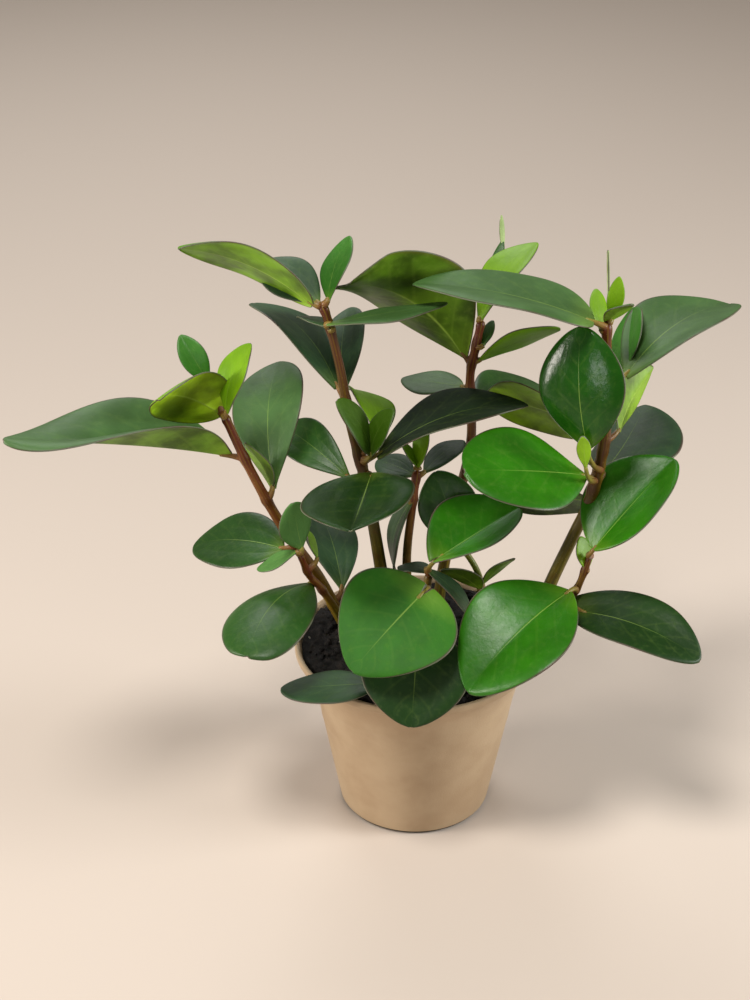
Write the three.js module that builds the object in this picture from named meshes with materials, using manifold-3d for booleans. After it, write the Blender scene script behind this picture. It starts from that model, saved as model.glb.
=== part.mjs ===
import * as THREE from "three";
import { mergeVertices } from "three/addons/utils/BufferGeometryUtils.js";
import Module from "manifold-3d";

// Potted peperomia: a tapered plastic pot, potting soil and eight leafy shoots.
// Millimetres, +Z up. The origin is the middle of the pot's foot and the front faces -Y.
// Each shoot is one body: its stem, the petioles, the leaves and the buds at its top.

// Pot
const potHeight = 81;
const rimRadius = 52.5;
const footRadius = 33;
const potWall = 1.6;
const lipBand = 4;
const lipFlare = 5.5;
const lipWidth = 2;
const lipRound = 0.8;
const flareRise = 15;
const flareSteps = 3;
const footRound = 1.3;
const floorThickness = 2.4;
const potSides = 36;
const drainHoleRadius = 3;
const drainHoleCircle = 19;
const drainHoleCount = 6;
const drainHoleSides = 12;

// Soil
const soilHeight = 78;
const soilGap = 0.3;
const soilRings = 5;
const soilBump = 0.9;
const soilHeap = 4;
const soilEdge = 2;

// Shoots
const bladeThickness = 1;
const longLeaf = 50;
const shortLeaf = 30;
const wideLeaf = 28;
const stemSides = 6;
const stemStep = 17;
const petioleSides = 4;
const petioleBend = 8;
const petioleDrop = 0.5;
const midribRunIn = 0.06;
const petioleRadius = 1.25;
const petioleEndRadius = 0.8;
const rootDepth = 18;
const rootDraw = 0.88;
const stemClearance = 0.3;

// Every leaf runs from the end of its petiole (base) to its tip. Width is across the widest place,
// roll is degrees round the midrib, arch lifts the middle of the midrib, cup lifts the margins and
// bend bows the midrib sideways, all as shares of the leaf's own length or width. Belly is 1 for a
// leaf that is widest halfway and more than 1 for one that is widest near its tip. Skew makes one
// half wider, and lobe lets the two sides of the base reach back past the petiole. Fold closes the
// two halves like a V along the midrib, furl does so less and less towards the tip, and blunt rounds
// the tip.
const shoots = {
  shoot_a: {
    stem: [
      [-28, 14, 71], [-35, 8, 92], [-42, 2, 112], [-50, -2, 128],
      [-58, -6, 145], [-69, -10, 172], [-78, -12, 197],
    ],
    sideStem: [[-33, 9, 87], [-36, 1, 98], [-42, -6, 113], [-45, -8, 118], [-49, -14, 133]],
    radius: 2.9,
    topRadius: 1.7,
    sideRadius: 1.9,
    sideTopRadius: 1.3,
    leaves: [
      {
        base: [-76, -10, 177], tip: [-158, -54, 208], width: 40, roll: 7,
        arch: 0.01, cup: -0.18, belly: 1.15, furl: 1.7,
      },
      { base: [-76, -21, 202], tip: [-66, -12, 228], width: 24, roll: -18, arch: 0.1, cup: 0.12 },
      {
        base: [-79, -10, 196], tip: [-100, -45, 220], width: 31, roll: 50,
        arch: 0.12, cup: 0.05, belly: 0.75,
      },
      {
        base: [-84, -8, 209], tip: [-95, 0, 226], width: 11, roll: -40,
        fold: 0.3, from: [-78, -12, 196],
      },
      {
        base: [-59, -6, 159], tip: [-58, 48, 191], width: 33, roll: -21,
        arch: 0.15, cup: 0.15, belly: 1.3,
      },
      {
        base: [-56, -4, 129], tip: [-96, 19, 117], width: 30, roll: -26,
        bend: 0.03, belly: 0.88, blunt: 0.1,
      },
      { base: [-48, -15, 136], tip: [-51, -17, 159], width: 17, roll: -84, arch: -0.03, cup: -0.07 },
      { base: [-50, -16, 135], tip: [-67, -10, 123], width: 12, roll: -12, arch: 0, cup: 0.03 },
      { base: [-60, -5, 159], tip: [-70, -10, 183], width: 12, roll: 19 },
      {
        base: [-44, -2, 111], tip: [-69, -56, 110], width: 39, roll: 8,
        arch: 0.11, cup: -0.19, bend: 0.045, belly: 1.36, blunt: 0.2,
      },
      {
        base: [-32, 10, 100], tip: [-43, 49, 116], width: 24, roll: 8,
        arch: 0.11, cup: 0.14, belly: 1.2,
      },
      { base: [-42, -7, 127], tip: [-46, -6, 139], width: 7, roll: -1, arch: 0.03 },
    ],
  },
  shoot_b: {
    stem: [
      [-10, 14, 71], [-13, 10, 95], [-18, 4, 134], [-22, 2, 160],
      [-28, 2, 187], [-32, 0, 213], [-37, 0, 235], [-39, 0, 240],
    ],
    radius: 3.2,
    topRadius: 1.6,
    leaves: [
      {
        base: [-28, 3, 159], tip: [-57, 37, 165], width: 20, roll: -35,
        arch: 0.16, cup: 0.2, belly: 1.2,
      },
      { base: [-42, 0, 239], tip: [-94, 1, 263], width: 35, roll: 43, arch: 0.09, belly: 0.92 },
      { base: [-40, 4, 238], tip: [-63, 30, 245], width: 21, roll: -20 },
      { base: [-36, 0, 241], tip: [-28, 22, 259], width: 17, roll: -33, belly: 1.15 },
      { base: [-33, 6, 199], tip: [-69, 50, 217], width: 36, roll: 23, arch: 0.12, cup: 0.15 },
      {
        base: [-30, 6, 198], tip: [-28, 46, 217], width: 23, roll: -30,
        arch: 0.09, cup: 0.14, belly: 1.15,
      },
      { base: [-37, -3, 232], tip: [11, 4, 238], width: 29, roll: -15, arch: 0, cup: 0 },
      { base: [-35, -3, 230], tip: [-48, 15, 227], width: 13, roll: 14 },
      {
        base: [-20, -4, 174], tip: [-33, -10, 202], width: 17, roll: -39,
        arch: 0.1, cup: 0.03, belly: 1.13,
      },
      { base: [-19, -4, 174], tip: [-10, -6, 196], width: 14, roll: 38, arch: 0.1, cup: 0.12 },
      {
        base: [-16, 2, 178], tip: [-29, 34, 185], width: 22, roll: 29,
        arch: 0.16, cup: 0.21, bend: 0.02, belly: 1.12,
      },
      {
        base: [-17, -2, 172], tip: [45, 7, 191], width: 42, roll: -8,
        arch: 0.1, cup: 0.2, bend: -0.01, belly: 1,
      },
      {
        base: [-19, -3, 165], tip: [-27, -58, 170], width: 47, roll: 10,
        arch: -0.08, cup: -0.25, bend: 0.03, belly: 0.95, fold: 0.55,
      },
    ],
  },
  shoot_c: {
    stem: [
      [10, 30, 71], [12, 29, 95], [18, 28, 134], [23, 27, 164],
      [22, 27, 196], [24, 26, 209], [26, 26, 221],
    ],
    radius: 2.9,
    topRadius: 1.6,
    leaves: [
      {
        base: [20, 28, 202], tip: [-28, 5, 246], width: 47, roll: 47,
        arch: 0.13, cup: 0.36, bend: -0.03, belly: 1.15, skew: -0.06, blunt: 0.5,
      },
      {
        base: [25, 26, 220], tip: [49, 44, 247], width: 25, roll: -13,
        arch: 0.13, cup: 0.13, belly: 1.2,
      },
      {
        base: [25, 26, 202], tip: [59, 31, 214], width: 22, roll: 134,
        arch: -0.04, cup: -0.08, belly: 1,
      },
      { base: [19, 28, 189], tip: [-6, 48, 183], width: 19, roll: -9, arch: 0, cup: 0.03, belly: 1 },
      { base: [25, 31, 182], tip: [55, 64, 171], width: 28, roll: 12, belly: 1 },
      { base: [27, 24, 210], tip: [31, 31, 218], width: 6, roll: -10 },
      { base: [26, 37, 216], tip: [36, 61, 241], width: 7, roll: 3, arch: 0, cup: 0 },
      {
        base: [36, 60, 237], tip: [35, 62, 252], width: 2.6, roll: 3,
        arch: 0, cup: 0, from: [34, 56, 234],
      },
    ],
  },
  shoot_d: {
    stem: [
      [40, -6, 71], [51, -6, 96], [57, -6, 115], [65, -7, 138],
      [70, -8, 153], [75, -8, 183], [75, -7, 201], [73, -6, 235],
    ],
    sideStem: [[53, -6, 92], [58, -11, 103], [66, -17, 117], [71, -17, 134]],
    radius: 3.2,
    topRadius: 1.8,
    sideRadius: 1.7,
    sideTopRadius: 1.3,
    leaves: [
      {
        base: [68, -8, 235], tip: [-3, 4, 246], width: 43, roll: 4,
        arch: 0.05, cup: -0.04, belly: 0.7, fold: 0.22,
      },
      {
        base: [82, -5, 210], tip: [129, 36, 223], width: 42, roll: -8,
        arch: 0.1, cup: 0.25, bend: -0.01, belly: 1.15, blunt: 0.18,
      },
      { base: [82, 0, 209], tip: [88, 32, 223], width: 24, roll: -56, arch: 0.02 },
      {
        base: [67, -21, 186], tip: [63, -9, 234], width: 36, roll: -42,
        arch: 0.08, cup: -0.14, bend: -0.02, belly: 1.06, from: [74, -9, 170],
      },
      {
        base: [81, -4, 185], tip: [98, 28, 198], width: 25, roll: -96,
        arch: 0.05, cup: 0.02, belly: 1.2, fold: 0.3,
      },
      {
        base: [68, -14, 170], tip: [17, -39, 186], width: 44, roll: -24,
        arch: 0.02, cup: 0.06, belly: 1.12, skew: 0.05, blunt: 0.15, from: [72, -8, 162],
      },
      {
        base: [79, 3, 165], tip: [101, 60, 164], width: 41, roll: -15,
        arch: -0.03, cup: -0.22, belly: 0.94, skew: 0.11, blunt: 0.2,
      },
      {
        base: [71, -26, 142], tip: [105, -4, 172], width: 40, roll: 0,
        arch: 0.01, cup: 0.16, belly: 0.92, skew: -0.04, fold: 0.25,
      },
      { base: [71, -6, 154], tip: [44, 22, 133], width: 24, roll: 53 },
      {
        base: [68, -22, 109], tip: [114, -51, 105], width: 32, roll: 11,
        arch: 0.1, cup: 0.13, belly: 0.93, lobe: 0.2, fold: 0.1, blunt: 0.05,
      },
      {
        base: [63, -24, 121], tip: [20, -55, 92], width: 48, roll: -13,
        arch: 0.1, cup: 0.05, belly: 0.95, fold: 0.2,
      },
      {
        base: [74, -4, 181], tip: [29, 29, 183], width: 36, roll: 60,
        cup: -0.05, bend: -0.04, belly: 1.4,
      },
      { base: [71, -6, 231], tip: [70, 11, 241], width: 7, roll: -5 },
      { base: [75, -5, 235], tip: [77, -4, 253], width: 7, roll: 60 },
      { base: [73, -4, 233], tip: [81, -15, 246], width: 11, roll: -12 },
      { base: [66, -25, 180], tip: [64, -25, 194], width: 6, roll: 90, from: [72, -9, 165] },
      { base: [70, -17, 127], tip: [67, -12, 140], width: 10, roll: 10 },
      { base: [74, -4, 236], tip: [72, -4, 264], width: 3, roll: 3, arch: 0, cup: 0 },
    ],
  },
  shoot_e: {
    stem: [[-2, 20, 71], [-4, 13, 114], [-2, 10, 141], [0, 9, 160]],
    radius: 2.3,
    topRadius: 1.6,
    leaves: [
      { base: [3, 10, 158], tip: [20, 27, 164], width: 15, roll: -5 },
      { base: [-1, 11, 156], tip: [-17, 29, 153], width: 14, roll: -25 },
      { base: [0, 9, 161], tip: [-7, 10, 172], width: 8, roll: -4 },
      { base: [0, 9, 161], tip: [4, 11, 179], width: 11, roll: 5 },
      { base: [-2, 9, 145], tip: [-9, 14, 107], width: 20, roll: -45, arch: 0.1, cup: 0.12 },
    ],
  },
  shoot_f: {
    stem: [[2, -6, 71], [3, -8, 101], [5, -8, 120]],
    radius: 2.3,
    topRadius: 1.6,
    leaves: [
      {
        base: [1, -29, 122], tip: [-27, -56, 103], width: 52, roll: -22,
        arch: 0.07, cup: 0.09, bend: -0.01, belly: 0.67, lobe: 0.15,
      },
      {
        base: [0, -28, 112], tip: [-3, -60, 78], width: 45, roll: -9,
        arch: 0.06, cup: 0.09, belly: 1.1,
      },
      {
        base: [9, -20, 135], tip: [43, 8, 142], width: 34, roll: 5,
        arch: 0, cup: 0.28, belly: 0.93, skew: -0.1, lobe: 0.12, fold: 0.2,
      },
      { base: [5, -8, 120], tip: [-7, 5, 115], width: 13, roll: 4, arch: 0.05, cup: 0.07 },
      { base: [4, -12, 124], tip: [24, -15, 101], width: 17, roll: -6, cup: 0.13, belly: 1.13 },
    ],
  },
  shoot_g: {
    stem: [[24, 10, 71], [28, 6, 102], [26, 6, 112], [20, 8, 122]],
    radius: 1.8,
    topRadius: 1.3,
    leaves: [
      { base: [20, 8, 123], tip: [8, 20, 153], width: 26, roll: -45, belly: 1.15 },
      { base: [28, 4, 104], tip: [11, -7, 121], width: 16, roll: 32 },
      { base: [28, 4, 106], tip: [41, -5, 125], width: 8, roll: -26 },
    ],
  },
  shoot_h: {
    stem: [[-8, -20, 71], [-10, -30, 81], [-12, -38, 86]],
    radius: 1.8,
    topRadius: 1.3,
    leaves: [
      { base: [-13, -40, 86], tip: [-57, -39, 82], width: 26, roll: 3, arch: 0, cup: 0, belly: 1.2 },
    ],
  },
};

const wasm = await Module();
wasm.setup();

function toSolid(geometry) {
  const bare = geometry.clone();
  bare.deleteAttribute("normal");
  bare.deleteAttribute("uv");
  const merged = mergeVertices(bare, 1e-4);
  return new wasm.Manifold(
    new wasm.Mesh({
      numProp: 3,
      vertProperties: new Float32Array(merged.attributes.position.array),
      triVerts: new Uint32Array(merged.index.array),
    }),
  );
}

function toGeometry(solid) {
  const mesh = solid.getMesh();
  const geometry = new THREE.BufferGeometry();
  geometry.setAttribute("position", new THREE.BufferAttribute(mesh.vertProperties, 3));
  geometry.setIndex(new THREE.BufferAttribute(mesh.triVerts, 1));
  return geometry;
}

function indexed(points, triangles) {
  const geometry = new THREE.BufferGeometry();
  const numbers = points.flatMap((p) => p.toArray());
  geometry.setAttribute("position", new THREE.Float32BufferAttribute(numbers, 3));
  geometry.setIndex(triangles);
  return geometry;
}

// A closed tube along a curve, with a flat end at both ends and a radius for each step.
function tube(curve, steps, sides, radiusAt) {
  const frames = curve.computeFrenetFrames(steps, false);
  const points = [];
  const triangles = [];
  for (let i = 0; i <= steps; i++) {
    const centre = curve.getPointAt(i / steps);
    const radius = radiusAt(i / steps);
    for (let j = 0; j < sides; j++) {
      const angle = (2 * Math.PI * j) / sides;
      points.push(
        centre
          .clone()
          .addScaledVector(frames.normals[i], radius * Math.cos(angle))
          .addScaledVector(frames.binormals[i], radius * Math.sin(angle)),
      );
    }
  }
  for (let i = 0; i < steps; i++) {
    for (let j = 0; j < sides; j++) {
      const a = i * sides + j;
      const b = i * sides + ((j + 1) % sides);
      triangles.push(a, b, b + sides, a, b + sides, a + sides);
    }
  }
  const last = steps * sides;
  for (let j = 1; j < sides - 1; j++) {
    triangles.push(0, j + 1, j, last, last + j, last + j + 1);
  }
  return indexed(points, triangles);
}

// The axes of a leaf: along its midrib, across the blade and out of its upper face.
function leafAxes(leaf) {
  const base = new THREE.Vector3(...leaf.base);
  const along = new THREE.Vector3(...leaf.tip).sub(base);
  const length = along.length();
  along.normalize();
  const across = new THREE.Vector3().crossVectors(along, new THREE.Vector3(0, 0, 1)).normalize();
  across.applyAxisAngle(along, THREE.MathUtils.degToRad(leaf.roll));
  const out = new THREE.Vector3().crossVectors(across, along);
  return { base, along, across, out, length };
}

// A point of the blade's middle surface: t runs from base to tip, s from one margin to the other.
function bladePoint(leaf, axes, t, s) {
  const { arch = 0.06, cup = 0.08, bend = 0, belly = 1.08, skew = 0, lobe = 0 } = leaf;
  const { fold = 0, furl = 0, blunt = 0 } = leaf;
  const outline = Math.max(Math.sin(Math.PI * t ** belly), 0) ** (0.72 - (0.1 + blunt) * t);
  const half = Math.max((leaf.width / 2) * outline * (1 + skew * s), petioleEndRadius);
  const hump = axes.length * 4 * t * (1 - t);
  const reach = axes.length * (t - lobe * Math.abs(s) ** 1.5 * (1 - t) ** 3);
  const close = (fold + furl * (1 - t)) * Math.abs(s);
  return axes.base
    .clone()
    .addScaledVector(axes.along, reach)
    .addScaledVector(axes.across, s * half + bend * hump)
    .addScaledVector(axes.out, arch * hump + (cup * s * s + close) * half);
}

// The blade as a closed grid: upper face, lower face and the thin wall of its margin.
function blade(leaf, axes) {
  const steps = axes.length > longLeaf ? 7 : axes.length > shortLeaf ? 5 : 3;
  const rows = leaf.width > wideLeaf ? 4 : 2;
  const columns = rows + 1;
  const count = (steps + 1) * columns;
  const upper = [];
  const lower = [];
  for (let i = 0; i <= steps; i++) {
    const even = i / steps;
    const eased = 0.5 - 0.5 * Math.cos(Math.PI * even);
    const t = (even + eased) / 2;
    for (let j = 0; j <= rows; j++) {
      const s = (2 * j) / rows - 1;
      const point = bladePoint(leaf, axes, t, s);
      upper.push(point.clone().addScaledVector(axes.out, bladeThickness / 2));
      lower.push(point.clone().addScaledVector(axes.out, -bladeThickness / 2));
    }
  }
  const triangles = [];
  const wall = (a, b) => triangles.push(a, b, b + count, a, b + count, a + count);
  for (let i = 0; i < steps; i++) {
    for (let j = 0; j < rows; j++) {
      const a = i * columns + j;
      const b = a + 1;
      const c = a + columns;
      const d = c + 1;
      triangles.push(a, b, d, a, d, c);
      triangles.push(a + count, d + count, b + count, a + count, c + count, d + count);
    }
    wall(i * columns, (i + 1) * columns);
    wall((i + 1) * columns + rows, i * columns + rows);
  }
  for (let j = 0; j < rows; j++) {
    wall(j + 1, j);
    wall(steps * columns + j, steps * columns + j + 1);
  }
  return indexed([...upper, ...lower], triangles);
}

function stemCurve(shoot) {
  const points = shoot.stem.map((p) => new THREE.Vector3(...p));
  const root = points[0].clone().multiply(new THREE.Vector3(rootDraw, rootDraw, 1));
  root.z -= rootDepth;
  return new THREE.CatmullRomCurve3([root, ...points], false, "centripetal");
}

// A stem that thins towards its top, or the slightly wider hole that it stands in.
function stemTube(curve, radius, topRadius) {
  const steps = Math.max(4, Math.round(curve.getLength() / stemStep));
  const radiusAt = (u) => radius + (topRadius - radius) * u;
  return tube(curve, steps, stemSides, radiusAt);
}

// The petiole leaves the stem a little below the leaf and runs on into the base of the midrib.
function petiole(leaf, axes, curves) {
  let start = new THREE.Vector3(...(leaf.from ?? leaf.base));
  if (!leaf.from) {
    const samples = curves.flatMap((curve) => curve.getSpacedPoints(120));
    const gap = Math.min(...samples.map((p) => p.distanceTo(axes.base)));
    const target = axes.base.clone();
    target.z -= petioleDrop * gap;
    const nearer = (best, p) => (p.distanceTo(target) < best.distanceTo(target) ? p : best);
    start = samples.reduce(nearer);
  }
  const end = bladePoint(leaf, axes, midribRunIn, 0);
  const pull = Math.min(0.4 * start.distanceTo(axes.base), petioleBend);
  const control = axes.base.clone().addScaledVector(axes.along, -pull);
  const route = new THREE.QuadraticBezierCurve3(start, control, end);
  const steps = start.distanceTo(end) > 1.5 * petioleBend ? 3 : 2;
  const radiusAt = (u) => petioleRadius + (petioleEndRadius - petioleRadius) * u;
  return tube(route, steps, petioleSides, radiusAt);
}

function leafyShoot(shoot) {
  const curves = [stemCurve(shoot)];
  let solid = toSolid(stemTube(curves[0], shoot.radius, shoot.topRadius));
  if (shoot.sideStem) {
    const side = new THREE.CatmullRomCurve3(shoot.sideStem.map((p) => new THREE.Vector3(...p)));
    solid = solid.add(toSolid(stemTube(side, shoot.sideRadius, shoot.sideTopRadius)));
    curves.push(side);
  }
  for (const leaf of shoot.leaves) {
    const axes = leafAxes(leaf);
    solid = solid.add(toSolid(blade(leaf, axes)));
    solid = solid.add(toSolid(petiole(leaf, axes, curves)));
  }
  return toGeometry(solid);
}

// Pot: a thin tapered wall that flares into a rounded lip band, on a flat foot with drain holes.
const taper = (rimRadius - lipFlare - footRadius) / (potHeight - lipBand);
const flareStart = potHeight - lipBand - flareRise;
const flareShare = (z) => Math.max(0, (z - flareStart) / flareRise);
const wallRadius = (z) => footRadius + taper * z + (lipFlare - potWall) * flareShare(z) ** 2;

function revolve(profile) {
  const points = profile.map(([r, z]) => new THREE.Vector2(r, z));
  const geometry = new THREE.LatheGeometry(points, potSides);
  geometry.rotateX(Math.PI / 2);
  return geometry;
}

function pot() {
  const flare = [];
  for (let i = 0; i <= flareSteps; i++) flare.push(flareStart + (flareRise * i) / flareSteps);
  const profile = [
    [0, 0],
    [footRadius - footRound, 0],
    [wallRadius(footRound), footRound],
    ...flare.map((z) => [wallRadius(z), z]),
    [rimRadius, potHeight - lipBand + lipRound / 2],
    [rimRadius, potHeight - lipRound],
    [rimRadius - lipRound, potHeight],
    [rimRadius - lipWidth + lipRound, potHeight],
    [rimRadius - lipWidth, potHeight - lipRound],
    ...flare.reverse().map((z) => [wallRadius(z) - potWall, z]),
    [wallRadius(floorThickness) - potWall, floorThickness],
    [0, floorThickness],
  ];
  let solid = toSolid(revolve(profile));
  for (let i = 0; i < drainHoleCount; i++) {
    const angle = (2 * Math.PI * i) / drainHoleCount;
    const drillLength = 3 * floorThickness;
    const drill = new THREE.CylinderGeometry(
      drainHoleRadius, drainHoleRadius, drillLength, drainHoleSides,
    );
    drill.rotateX(Math.PI / 2);
    drill.translate(drainHoleCircle, 0, floorThickness / 2);
    drill.rotateZ(angle);
    solid = solid.subtract(toSolid(drill));
  }
  return toGeometry(solid);
}

// The uneven top of the soil, heaped a little towards the middle, as a height above its edge.
function soilLift(x, y) {
  const heap = soilHeap * Math.max(0, 1 - (x * x + y * y) / rimRadius ** 2);
  const broad = Math.sin(0.21 * x + 1) * Math.cos(0.17 * y);
  return heap + soilBump * (broad + 0.4 * Math.sin(0.43 * y + 0.5 * x));
}

// Soil: fills the pot to just under its lip and has a plain hole for each stem.
function soil() {
  const low = floorThickness + soilGap;
  const shoulder = soilHeight - soilEdge;
  const side = (z) => wallRadius(z) - potWall - soilGap;
  const midFlare = (flareStart + shoulder) / 2;
  const profile = [[0, low], ...[low, flareStart, midFlare, shoulder].map((z) => [side(z), z])];
  for (let i = soilRings; i >= 0; i--) {
    profile.push([(side(shoulder) - soilEdge) * (i / soilRings), soilHeight]);
  }
  const geometry = mergeVertices(revolve(profile).deleteAttribute("uv").deleteAttribute("normal"), 1e-4);
  const position = geometry.attributes.position;
  for (let i = 0; i < position.count; i++) {
    const height = position.getZ(i);
    if (height > shoulder + soilEdge / 2) {
      position.setZ(i, height + soilLift(position.getX(i), position.getY(i)));
    }
  }
  let solid = toSolid(geometry);
  for (const shoot of Object.values(shoots)) {
    const hole = stemCurve(shoot);
    hole.points[0].z -= 3 * stemClearance;
    const wider = 2 * stemClearance;
    solid = solid.subtract(toSolid(stemTube(hole, shoot.radius + wider, shoot.topRadius + wider)));
  }
  return toGeometry(solid);
}

const plastic = new THREE.MeshStandardMaterial({ color: "#b3987a", roughness: 0.6, metalness: 0 });
const earth = new THREE.MeshStandardMaterial({ color: "#14100d", roughness: 0.95, metalness: 0 });
const foliage = new THREE.MeshStandardMaterial({ color: "#2f6a1c", roughness: 0.35, metalness: 0 });

const plant = new THREE.Group();

function place(name, geometry, material) {
  const mesh = new THREE.Mesh(geometry, material);
  mesh.name = name;
  plant.add(mesh);
}

place("pot", pot(), plastic);
place("soil", soil(), earth);
for (const [name, shoot] of Object.entries(shoots)) place(name, leafyShoot(shoot), foliage);

export default plant;
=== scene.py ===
import math
import random

import bmesh
import bpy
from mathutils import Matrix, Vector, noise


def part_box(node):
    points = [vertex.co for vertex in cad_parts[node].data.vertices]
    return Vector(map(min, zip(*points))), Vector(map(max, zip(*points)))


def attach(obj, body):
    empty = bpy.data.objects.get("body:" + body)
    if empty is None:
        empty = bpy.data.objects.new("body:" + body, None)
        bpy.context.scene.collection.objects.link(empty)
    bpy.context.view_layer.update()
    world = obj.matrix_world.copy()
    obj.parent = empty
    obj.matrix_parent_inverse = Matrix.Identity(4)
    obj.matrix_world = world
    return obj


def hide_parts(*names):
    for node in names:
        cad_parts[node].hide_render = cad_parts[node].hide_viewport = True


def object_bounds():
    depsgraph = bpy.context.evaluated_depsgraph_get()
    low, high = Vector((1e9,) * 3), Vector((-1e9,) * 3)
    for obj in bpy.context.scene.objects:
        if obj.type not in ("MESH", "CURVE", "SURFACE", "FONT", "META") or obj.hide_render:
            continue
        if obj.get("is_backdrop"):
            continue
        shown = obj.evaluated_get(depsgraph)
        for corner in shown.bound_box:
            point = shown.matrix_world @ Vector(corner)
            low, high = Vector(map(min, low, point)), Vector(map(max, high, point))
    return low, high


# Potted peperomia. Metres, +Z up. Sizes in the dictionaries are in millimetres, as in the solids.
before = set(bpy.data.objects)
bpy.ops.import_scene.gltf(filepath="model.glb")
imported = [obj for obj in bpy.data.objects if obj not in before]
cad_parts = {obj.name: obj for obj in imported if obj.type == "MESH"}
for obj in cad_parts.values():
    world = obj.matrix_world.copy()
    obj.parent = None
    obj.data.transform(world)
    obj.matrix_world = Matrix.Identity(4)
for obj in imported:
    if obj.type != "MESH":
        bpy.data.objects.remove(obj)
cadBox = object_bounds()
draw = random.Random(7)
mm = 0.001
weldDistance = 1e-6

# Colours, node materials and meshes

mixShare, mixFrom, mixTo = 0, 6, 7  # input numbers of a Mix node for colours


def linear(hexColour):
    channels = [int(hexColour[i:i + 2], 16) / 255 for i in (1, 3, 5)]
    return (*(c / 12.92 if c <= 0.04045 else ((c + 0.055) / 1.055) ** 2.4 for c in channels), 1.0)


def mix(first, second, share):
    return tuple(a + (b - a) * share for a, b in zip(first, second))


def blend(first, second, share):
    return mix(linear(first), linear(second), min(max(share, 0), 1))


def newMaterial(name):
    material = bpy.data.materials.new(name)
    material.use_nodes = True
    material.node_tree.nodes.clear()
    return material


# An input takes a value, a hex colour, a socket, or a node whose first output is meant.
def addNode(material, kind, inputs, **settings):
    tree = material.node_tree
    made = tree.nodes.new("ShaderNode" + kind)
    for name, value in settings.items():
        setattr(made, name, value)
    for name, value in inputs.items():
        if isinstance(value, bpy.types.Node):
            value = next(output for output in value.outputs if output.enabled)
        if isinstance(value, bpy.types.NodeSocket):
            tree.links.new(value, made.inputs[name])
        else:
            made.inputs[name].default_value = linear(value) if isinstance(value, str) else value
    return made


# Noise inputs for spots of a width in millimetres on the piece's own coordinates.
def spots(place, width, detail=3.0, roughness=0.5):
    return {"Vector": place["Object"], "Scale": 1 / (width * mm), "Detail": detail, "Roughness": roughness}


# Lays a shade over a colour: none where the pattern is at the first level, its share at the second.
def overlay(material, colour, pattern, levels, share, shade):
    inputs = {"Value": pattern, "From Min": levels[0], "From Max": levels[1], "To Max": share}
    factor = addNode(material, "MapRange", inputs, interpolation_type="SMOOTHSTEP")
    return addNode(material, "Mix", {mixShare: factor, mixFrom: colour, mixTo: shade}, data_type="RGBA")


# A line that is full where its edge is at the second level, and fades as another value changes.
def fadedLine(material, edge, levels, value, fade):
    shares = []
    for pattern, (none, full) in ((edge, levels), (value, fade)):
        inputs = {"Value": pattern, "From Min": none, "From Max": full}
        shares.append(addNode(material, "MapRange", inputs, interpolation_type="SMOOTHSTEP"))
    return addNode(material, "Math", dict(enumerate(shares)), operation="MULTIPLY")


def surface(material, inputs):
    shader = addNode(material, "BsdfPrincipled", inputs)
    addNode(material, "OutputMaterial", {"Surface": shader})
    return material


def meshObject(name, mesh, materials, body, smooth=True):
    data = bpy.data.meshes.new(name)
    for face in mesh.faces:
        face.smooth = smooth
    mesh.to_mesh(data)
    mesh.free()
    made = bpy.data.objects.new(name, data)
    bpy.context.scene.collection.objects.link(made)
    for material in materials:
        data.materials.append(material)
    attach(made, body)
    return made


# What both faces of a leaf share. Levels across run from 0 at the midrib to 1 at the margin, and
# levels along from 0 at the petiole to 1 at the tip. The widths of lines are levels across too, and
# those of spots are in millimetres. Real wax is pebbled more finely, and is drawn as coarse as it shows.
leafPattern = {
    "ribCore": 0.004, "ribTaper": 0.02, "ribFade": (1.05, 0.3), "longVeinAt": 0.45, "longVeinWidth": 0.09,
    "longVeinFade": (0.95, 0.5), "longVeinShare": 0.015, "longVeinRise": -0.25, "veins": 6.5,
    "veinSlant": -1.9, "veinLevels": (0.8, 1.0), "veinFade": (1.0, 0.35), "veinRise": -0.08,
    "cloudWidth": 18, "cloudRoughness": 0.55, "cloudLevels": (0.68, 0.34), "mottleWidth": 2.4,
    "mottleLevels": (0.5, 0.75), "pebbleWidth": 1.1, "pebbleRise": 0.5, "rippleWidth": 7.7,
    "bumpDepth": 0.35, "roughRange": 0.14,
}


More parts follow.
